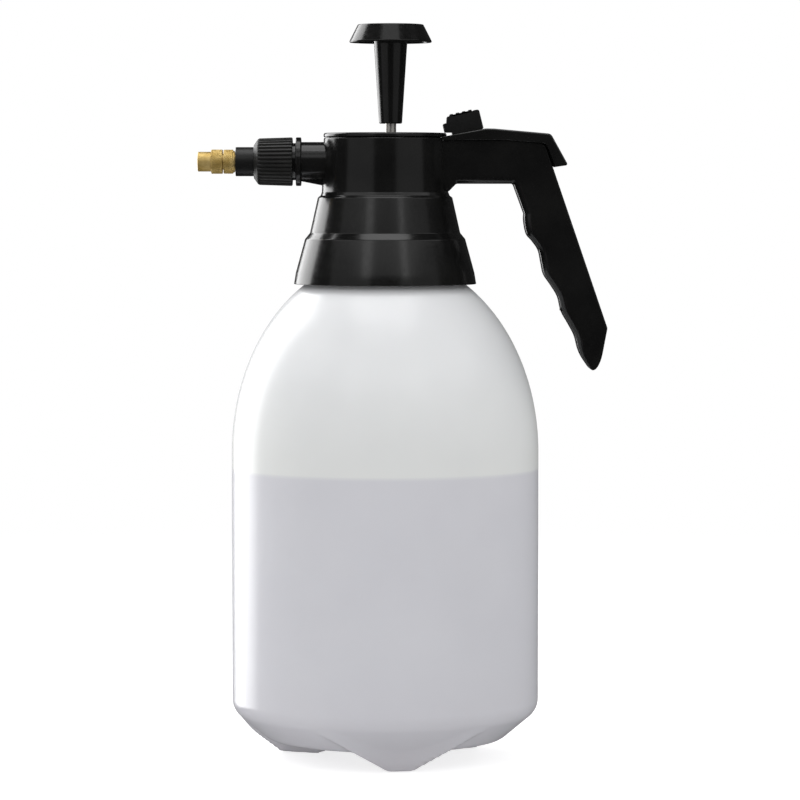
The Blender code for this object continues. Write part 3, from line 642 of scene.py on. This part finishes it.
def grip_back(height):
    """Where the grip's straight back is at a height."""
    return GRIP_BACK_X + GRIP_BACK_SLOPE * (GRIP_TOP_Z - height)


def arm_outline():
    """The arm and the grip, seen from the side."""
    back = rounded([
        (22.5, 259.1), (50.0, 259.1, 4.0), (64.0, 257.9, 3.0), (66.6, 256.4, 1.2),
        (grip_back(GRIP_TOP_Z), GRIP_TOP_Z), (grip_back(GRIP_LOW_Z), 181.0, 2.0), (90.4, 169.6),
    ])[:-1]
    tip = curve([
        (90.3, 170.1), (89.6, 167.6), (88.5, 165.2), (87.3, 163.8), (86.0, 163.5), (84.7, 164.4),
    ])
    front = curve([
        (84.7, 164.4), (81.9, 168.6), (80.3, 172.2), (78.8, 177.6), (76.3, 182.4), (73.4, 187.6),
        (71.8, 193.8), (69.0, 198.5), (66.0, 203.0), (64.9, 207.6), (63.7, 213.1), (61.2, 216.9),
        (58.7, 220.0), (57.6, 225.4), (57.7, 229.0),
    ])
    root = rounded([
        (57.7, 229.0), (53.1, 240.8, 1.0), (29.5, 240.8, 1.5), (26.5, 237.7, 1.0), (22.5, 237.7),
    ])
    return back + tip[:-1] + front[:-1] + root[1:]


def arm_edge(x, z):
    """How far the arm's rims are rounded: widely where the fingers go, narrowly elsewhere."""
    if z > FINGER_TOP_Z or x < 24.0:
        return FINE_RIM
    from_back = min(1.0, max(0.0, (grip_back(z) - x - 3.0) / 7.0))
    from_ends = min(1.0, (FINGER_TOP_Z - z) / 4.0, 0.1 + (z - GRIP_TIP_Z) / 14.0)
    return FINE_RIM + WIDE_RIM * from_back * from_ends


def channel_outline():
    """The hollow in the arm and the grip, open at the top and at the back."""
    outline = [(20.0, 243.4), (20.0, 262.0), (69.0, 262.0), (grip_back(GRIP_TOP_Z) + 4, GRIP_TOP_Z)]
    outline += [(grip_back(GRIP_LOW_Z) + 4, GRIP_LOW_Z), (95.0, 172.0)]
    inner = curve([
        (83.9, 172.2), (82.4, 177.6), (77.0, 187.6), (75.4, 193.8), (69.6, 203.0), (68.5, 207.6),
        (67.3, 213.1), (62.3, 220.0), (61.2, 225.4), (61.2, 229.2),
    ], 3)
    outline += [(point.x, point.y) for point in inner]
    outline.append((55.6, 243.4))
    return vectors(outline)


def make_arm():
    """The arm and the grip as one hollow shell, and the ribs inside the grip."""
    arm = put("arm_shell", [slab(arm_outline(), ARM_HALF_WIDTH, arm_edge)], 60)
    carve(arm, [slab(channel_outline(), CHANNEL_HALF_WIDTH)])
    finish_piece(arm, "head", "black_plastic", ["head_housing"])
    ribs = []
    for height in GRIP_RIB_HEIGHTS:
        front = grip_back(height) - GRIP_RIB_DEPTH
        top = height + GRIP_RIB_THICKNESS
        corners = [(front, height), (grip_back(height) - 1.0, height, 0.4)]
        corners += [(grip_back(top) - 1.0, top, 0.4), (front, top)]
        ribs.append(slab(rounded(corners, 3), CHANNEL_HALF_WIDTH + 0.4))
    finish_piece(put("grip_ribs", ribs), "head", "black_plastic")


def make_head():
    """The skirt, the two tiers and the cylinder as one turned shell, with the nozzle boss."""
    profile = rounded([
        (23.6, HEAD_TOP_Z, 0.4), (25.5, HEAD_TOP_Z, 0.5), (26.35, 237.3, 0.9), (26.9, 235.9, 0.5),
        (28.0, 235.1, 0.9), (31.3, 220.4, 0.9), (33.4, 217.8, 1.6), (37.2, 203.9), (38.0, 199.1, 0.3),
        (36.3, 199.1, 0.3), (33.6, 210.0), (31.8, 216.4), (29.7, 220.6), (27.5, 221.5), (27.5, 206.5),
        (25.4, 206.5), (25.4, 229.8), (14.4, 229.8), (14.4, 232.3), (23.4, 232.3),
    ], 6)
    shell = put("head_shell", [lathe(profile, 192)], 50)
    finish_piece(shell, "head", "black_plastic", ["head_housing"])
    boss = rounded([
        (2.5, -23.9), (8.15, -23.9), (8.15, -34.9, 0.4), (10.1, -34.9, 0.4), (10.1, -37.1, 0.4),
        (7.7, -37.1, 0.2), (7.7, -46.0, 0.4), (2.5, -46.0, 0.3),
    ])
    body = lathe(boss, 96, "X", (0, 0, NOZZLE_Z))
    rib = rounded([(-34.8, 241.8, 0.6), (-34.8, 245.5), (-24.5, 245.5), (-24.5, 239.8)])
    thread = ridge(7.7, 8.3, 1.0, 0.4, 2.0, 41.2, 1.5, 48, "X", (0, 0, NOZZLE_Z))
    boss = put("nozzle_boss", [body, slab(rib, 2.5, 0.5), thread], 50)
    finish_piece(boss, "head", "black_plastic", ["head_housing"])


def make_cap():
    """The disc that closes the top, and the tube under it."""
    disc = rounded([
        (0, CAP_TOP_Z - 0.4), (25.6, CAP_TOP_Z - 0.4, 0.8), (25.6, CAP_UNDER_Z, 0.3),
        (23.1, CAP_UNDER_Z),
        (23.1, 256.4), (21.4, 256.4), (21.4, CAP_UNDER_Z + 0.4), (0, CAP_UNDER_Z + 0.4),
    ])
    cap = put("pump_cap_disc", [lathe(disc, 160)])
    carve(cap, [rod(2.45, CAP_UNDER_Z - 1, CAP_TOP_Z + 1, 48, "Z", (PUMP_X, 0, 0))])
    soften(cap, 0.2)
    finish_piece(cap, "head", "black_plastic", ["pump_cap"])
    sleeve = [(11.9, 236.6), (13.7, 236.6), (13.7, CAP_UNDER_Z + 1.0), (11.9, CAP_UNDER_Z + 1.0)]
    sleeve = put("cap_sleeve", [lathe(sleeve, 64, "Z", (PUMP_X, 0, 0))])
    finish_piece(sleeve, "head", "black_plastic")


# ---------------------------------------------------------------- plunger

def make_plunger():
    """The mushroom knob with its webs, and the steel rod."""
    centre = (PUMP_X, 0, 0)
    knob = rounded([
        (0, 306.9), (13.6, 306.9, 0.7), (17.1, 300.0, 0.4), (17.0, 299.4, 0.25), (15.7, 299.4, 0.3),
        (13.2, 304.4, 0.8), (7.9, 304.4, 1.4), (6.9, 299.0, 2.0), (4.75, 265.8, 0.5),
        (2.45, 265.8, 0.2), (2.45, 296.3), (0, 296.3),
    ])
    shapes = [lathe(knob, 128, "Z", centre)]
    for number in range(KNOB_WEBS):
        web = slab(rounded([(6.4, 300.2), (14.2, 301.0, 0.3), (14.2, 304.8), (6.4, 304.8)]), 0.6, 0.2)
        turn = Matrix.Rotation(math.pi * number / (KNOB_WEBS / 2), 3, "Z")
        bmesh.ops.rotate(web, verts=web.verts, matrix=turn)
        bmesh.ops.translate(web, verts=web.verts, vec=centre)
        shapes.append(web)
    finish_piece(put("pump_knob", shapes, 50), "plunger", "black_plastic", ["pump_handle"])
    shaft = rod(ROD_RADIUS, 125.0, 296.0, 64, "Z", centre, 0.5)
    finish_piece(put("pump_shaft", [shaft]), "plunger", "steel", ["pump_rod"])


# ---------------------------------------------------------------- trigger

def lever_edge(x, z):
    """The lever's rims are fine at its thin front end."""
    return 0.15 + 0.55 * min(1.0, max(0.0, (x - 24.0) / 12.0))


def make_lever():
    """The thumb lever's shell, its ears on the pin, its fork on the stem and the lock's rail."""
    outline = rounded([
        (22.5, 258.9), (22.5, 260.1), (25.2, 260.5), (41.5, 263.65, 6.0), (45.2, 263.6, 3.0),
        (68.6, 261.5, 2.4), (75.8, 248.5, 0.7), (70.3, 247.7, 0.7), (66.5, 257.5, 2.6),
        (50.5, 258.8, 3.0),
    ], 6)
    hollow = [(27.0, 240.0), (27.0, 259.45), (41.0, 262.2), (45.2, 262.2), (67.0, 260.25)]
    hollow += [(68.4, 259.5), (72.7, 246.0), (72.7, 240.0)]
    lever = put("lever_shell", [slab(outline, LEVER_HALF_WIDTH, lever_edge)], 60)
    hollow = slab(vectors(hollow), LEVER_HOLLOW_HALF_WIDTH)
    carve(lever, [hollow, rod(26.0, 257.0, 266.0, 96)])
    soften(lever, 0.2)
    finish_piece(lever, "lever", "black_plastic", ["trigger_lever"])
    ear = [(29.5, 257.4), (43.5, 257.4), (44.2, 255.4), (45.6, 254.4), (48.4, 254.4), (49.8, 255.4)]
    ear += [(50.5, 258.0), (50.5, 262.9), (45.2, 263.1), (41.0, 263.1), (29.5, 260.8)]
    pair = [slab(vectors(ear), EAR_HALF_THICKNESS, 0.0, side * EAR_OFFSET) for side in (-1, 1)]
    ears = put("lever_ears", pair)
    carve(ears, [rod(1.65, -7.0, 7.0, 32, "Y", (PIVOT_X, 0, PIVOT_Z))])
    finish_piece(ears, "lever", "black_plastic")
    fork = put("lever_fork", [block((30.5, -4.9, 257.4), (35.6, 4.9, 258.6))])
    carve(fork, [block((29.5, -1.6, 256.5), (34.7, 1.6, 259.2))])
    finish_piece(fork, "lever", "black_plastic")
    rail = vectors([(28.4, 260.4), (28.4, 265.0), (34.2, 265.0), (34.2, 261.6)])
    head = block((28.4, -4.0, 264.6), (34.2, 4.0, 266.2))
    finish_piece(put("lock_rail", [slab(rail, 1.8), head]), "lever", "black_plastic")


def make_lock():
    """The ribbed slide, on a T-shaped rail of the lever."""
    top = [(23.9, 265.5, 0.5), (25.4, 265.9, 0.3), (LOCK_TOP_X, LOCK_TOP_Z, 0.4)]
    for number in range(LOCK_RIBS):
        start = LOCK_RIB_START + LOCK_RIB_PITCH * number
        level = LOCK_TOP_Z + LOCK_TOP_SLOPE * (start - LOCK_TOP_X)
        top += [(start, level, 0.2), (start + 0.35, level + 0.85, 0.3)]
        top += [(start + 1.55, level + 1.05, 0.3), (start + 1.9, level + 0.4, 0.2)]
    corners = [(25.1, 260.4)] + top
    corners += [(36.9, 271.3, 0.3), (38.9, 271.6, 0.8), (40.8, 264.0), (40.4, 263.4)]
    lock = put("lock_slide_shell", [slab(rounded(corners, 3), LOCK_HALF_WIDTH, 0.35, 0.0, 3)], 60)
    bottom = [(24.0, 259.0), (42.0, 259.0), (42.0, 263.9), (40.8, 263.68), (24.0, 260.38)]
    carve(lock, [
        slab(vectors(bottom), 8.0),
        block((LOCK_SLOT_START, -2.1, 259.0), (LOCK_SLOT_END, 2.1, 264.7)),
        rod(25.75, 258.0, CAP_TOP_Z - 0.2, 96, "Z", (LOCK_TRAVEL, 0, 0)),
        block((LOCK_SLOT_START, -4.3, 264.3), (LOCK_SLOT_END, 4.3, 266.5)),
    ])
    finish_piece(lock, "lock", "black_plastic", ["trigger_lock"])
    lock.data.materials[0] = MATTE_BLACK


# ---------------------------------------------------------------- nozzle

def along_axis(profile, inset=None, columns=96):
    """A shape turned about the nozzle's axis."""
    return lathe(profile, columns, "X", (0, 0, NOZZLE_Z), inset)


def row(radius, start, end, count):
    """Evenly spaced profile points of one radius, so that a rib or a knurl can shape them."""
    return [Vector((radius, start + (end - start) * step / count)) for step in range(count + 1)]


def nut_rib(angle, radius, along):
    """Grooves along the nut's grip, which close before its cone."""
    if radius < NUT_GRIP_RADIUS or not NUT_GRIP_FRONT < along < NUT_GRIP_BACK:
        return 0.0
    wave = 0.5 + 0.5 * math.cos(NUT_RIBS * angle)
    return NUT_RIB_DEPTH * (1 - min(1.0, 1.6 * wave))


def diamond(angle, radius, along):
    """Crossed helical grooves of a knurled grip."""
    if radius < KNURL_RADIUS:
        return 0.0
    pitch = 2 * math.pi / KNURL_PITCH
    first = abs(math.sin(0.5 * (KNURL_TEETH * angle + pitch * along)))
    second = abs(math.sin(0.5 * (KNURL_TEETH * angle - pitch * along)))
    return KNURL_DEPTH * (1 - min(1.0, 2.2 * min(first, second)))


def make_nozzle():
    """The black nose, the ribbed nut, and the two brass parts."""
    nose = rounded([
        (2.2, -47.8), (8.0, -47.8), (8.0, -49.8), (6.05, -49.8), (6.05, -62.2, 0.35),
        (4.0, -62.2, 0.2), (4.0, -56.0), (2.2, -56.0),
    ])
    nose = put("nozzle_nose", [along_axis(nose)])
    finish_piece(nose, "nozzle", "black_plastic", ["nozzle_holder"])
    nose.data.materials[0] = MATTE_BLACK
    shell = rounded([(6.35, -50.1), (8.6, -50.1), (8.6, -38.5, 0.2), (10.05, -38.5, 0.25)])
    taper = [Vector((10.1 - 0.42 * step / 14, -38.9 - 13.3 * step / 14)) for step in range(15)]
    cone = rounded([(9.68, -52.3), (9.3, -52.9, 0.3), (6.9, -54.6, 0.4), (6.35, -54.6), (6.35, -52.0)])
    nut = put("ribbed_nut", [along_axis(shell + taper + cone[1:-1], nut_rib, NUT_RIBS * 10)], 60)
    finish_piece(nut, "union_nut", "black_plastic", ["union_nut"])
    nut.data.materials[0] = RIBBED_BLACK
    body = rounded([(1.6, -56.3), (3.7, -56.3), (3.7, -62.5), (4.45, -62.5, 0.15), (4.45, -63.15)])
    body += rounded([(4.45, -63.15), (4.8, -63.15), (5.0, -63.45), (5.0, -63.5)])[1:]
    body += row(5.0, -63.6, -66.8, 14)
    body += vectors([
        (4.85, -67.15), (3.3, -67.2), (3.3, -71.7), (2.7, -71.7), (2.7, -75.4), (1.6, -75.8),
    ])
    body = put("brass_body", [along_axis(body, diamond, 240)], 60)
    finish_piece(body, "nozzle", "brass", ["nozzle_body"])
    cap = vectors([(3.6, -67.6), (4.85, -67.6)]) + row(5.05, -67.85, -72.0, 16)
    cap += rounded([
        (4.85, -72.3), (4.1, -72.45), (4.1, -77.9, 0.35), (0.6, -78.2, 0.15), (0.6, -77.2),
        (3.0, -76.4), (3.0, -72.1), (3.6, -72.1), (3.6, -70.7), (4.35, -70.7), (4.35, -69.3),
        (3.6, -69.3),
    ])
    cap = put("brass_cap", [along_axis(cap, diamond, 240)], 60)
    finish_piece(cap, "nozzle_cap", "brass", ["nozzle_cap"])


# ---------------------------------------------------------------- valve spring

def make_spring():
    """The valve's return spring, as a coil of fixed length on the head; the real spring shortens as
    the stem lifts.
    """
    low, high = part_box("valve_spring")
    middle = (low + high) / 2
    wire = SPRING_WIRE * MM
    rise = high.z - low.z - 2 * wire
    steps = SPRING_TURNS * SPRING_STEPS
    coil = bmesh.new()
    rings = []
    for step in range(steps + 1):
        angle = math.tau * step / SPRING_STEPS
        outward = Vector((math.cos(angle), math.sin(angle), 0))
        centre = Vector((middle.x, middle.y, low.z + wire + rise * step / steps))
        centre += outward * SPRING_RADIUS * MM
        ring = []
        for side in range(SPRING_SIDES):
            turn = math.tau * side / SPRING_SIDES
            across = outward * math.cos(turn) + Vector((0, 0, math.sin(turn)))
            ring.append(coil.verts.new(centre + across * wire))
        rings.append(ring)
    for first, second in zip(rings, rings[1:]):
        for side in range(SPRING_SIDES):
            after = (side + 1) % SPRING_SIDES
            coil.faces.new((first[side], first[after], second[after], second[side]))
    coil.faces.new(rings[0])
    coil.faces.new(rings[-1])
    bmesh.ops.recalc_face_normals(coil, faces=coil.faces)
    mesh = bpy.data.meshes.new("valve_coil")
    coil.to_mesh(mesh)
    coil.free()
    mesh.shade_smooth()
    piece = bpy.data.objects.new("valve_coil", mesh)
    bpy.context.scene.collection.objects.link(piece)
    finish_piece(piece, "head", "steel", ["valve_spring"])
    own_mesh(piece)


# ---------------------------------------------------------------- stage

def light(name, azimuth, elevation, distance, width, height, radiance, reflected):
    """A softbox facing the bottle. Azimuth is measured from the front towards the left."""
    data = bpy.data.lights.new(name, "AREA")
    data.shape = "RECTANGLE"
    data.size = width
    data.size_y = height
    data.energy = radiance * math.pi * width * height
    lamp = bpy.data.objects.new(name, data)
    turn = math.radians(azimuth)
    rise = math.radians(elevation)
    flat = math.cos(rise)
    away = Vector((-math.sin(turn) * flat, -math.cos(turn) * flat, math.sin(rise)))
    lamp.location = Vector((AXIS_X, 0, LIGHT_AIM_Z)) + away * distance
    lamp.rotation_euler = away.to_track_quat("Z", "Y").to_euler()
    lamp.visible_camera = False
    lamp.visible_glossy = reflected
    bpy.context.scene.collection.objects.link(lamp)


def make_world():
    """White behind the object, soft light all round, and little of it in reflections."""
    world = bpy.data.worlds.new("studio")
    bpy.context.scene.world = world
    world.use_nodes = True
    tree = world.node_tree
    tree.nodes.clear()
    path = tree.nodes.new("ShaderNodeLightPath")
    seen = None
    skies = ((WORLD_AMBIENT, None), (WORLD_IN_REFLECTIONS, "Is Glossy Ray"),
             (WORLD_BEHIND, "Is Camera Ray"))
    for strength, ray in skies:
        sky = tree.nodes.new("ShaderNodeBackground")
        sky.inputs["Color"].default_value = (1, 1, 1, 1)
        sky.inputs["Strength"].default_value = strength
        if ray is None:
            seen = sky.outputs["Background"]
            continue
        mix = tree.nodes.new("ShaderNodeMixShader")
        tree.links.new(path.outputs[ray], mix.inputs["Fac"])
        tree.links.new(seen, mix.inputs[1])
        tree.links.new(sky.outputs["Background"], mix.inputs[2])
        seen = mix.outputs["Shader"]
    output = tree.nodes.new("ShaderNodeOutputWorld")
    tree.links.new(seen, output.inputs["Surface"])


def make_floor():
    """A pale floor that fades into the white behind it."""
    shape = bmesh.new()
    bmesh.ops.create_circle(shape, cap_ends=True, radius=FLOOR_RADIUS, segments=96)
    mesh = bpy.data.meshes.new("floor")
    shape.to_mesh(mesh)
    shape.free()
    floor = bpy.data.objects.new("floor", mesh)
    floor.visible_glossy = False
    floor.location.z = -FLOOR_DROP
    bpy.context.scene.collection.objects.link(floor)
    made, tree, shader, place = new_material("floor_paper")
    shader.inputs["Base Color"].default_value = (0.55, 0.55, 0.55, 1)
    shader.inputs["Roughness"].default_value = 0.9
    shader.inputs["Specular IOR Level"].default_value = 0.0
    shader.inputs["Emission Color"].default_value = (1, 1, 1, 1)
    path = tree.nodes.new("ShaderNodeLightPath")
    glow = tree.nodes.new("ShaderNodeMapRange")
    glow.inputs["To Min"].default_value = FLOOR_GLOW[0]
    glow.inputs["To Max"].default_value = FLOOR_GLOW[1]
    tree.links.new(path.outputs["Is Camera Ray"], glow.inputs["Value"])
    tree.links.new(glow.outputs["Result"], shader.inputs["Emission Strength"])
    length = tree.nodes.new("ShaderNodeVectorMath")
    length.operation = "LENGTH"
    tree.links.new(place, length.inputs[0])
    fade = tree.nodes.new("ShaderNodeMapRange")
    fade.interpolation_type = "SMOOTHSTEP"
    fade.inputs["From Min"].default_value = FLOOR_FADE[0]
    fade.inputs["From Max"].default_value = FLOOR_FADE[1]
    tree.links.new(length.outputs["Value"], fade.inputs["Value"])
    clear = tree.nodes.new("ShaderNodeBsdfTransparent")
    mix = tree.nodes.new("ShaderNodeMixShader")
    tree.links.new(fade.outputs["Result"], mix.inputs["Fac"])
    tree.links.new(shader.outputs["BSDF"], mix.inputs[1])
    tree.links.new(clear.outputs["BSDF"], mix.inputs[2])
    tree.links.new(mix.outputs["Shader"], tree.nodes["Material Output"].inputs["Surface"])
    mesh.materials.append(made)


def make_camera():
    """A long lens in front of the bottle, a little above its middle."""
    data = bpy.data.cameras.new("camera")
    data.lens = CAMERA_LENS
    data.sensor_width = CAMERA_SENSOR
    camera = bpy.data.objects.new("camera", data)
    camera.location = CAMERA_PLACE
    aim = Vector(CAMERA_AIM) - camera.location
    camera.rotation_euler = aim.to_track_quat("-Z", "Y").to_euler()
    bpy.context.scene.collection.objects.link(camera)
    bpy.context.scene.camera = camera


def dress_packed_parts():
    """Give the model's own shown parts the material of their slot."""
    for part in frame["record"]["subparts"]:
        mesh = frame["nodes"][part["node"]].data
        mesh.materials.clear()
        mesh.materials.append(MATERIALS[part["material_slot"]])


make_camera()
make_world()
make_floor()
for softbox in SOFTBOXES:
    light(*softbox)
bpy.context.scene.view_settings.view_transform = "Standard"

dress_packed_parts()
make_bottle()
make_arm()
make_head()
make_cap()
make_plunger()
make_lever()
make_lock()
make_nozzle()
make_spring()
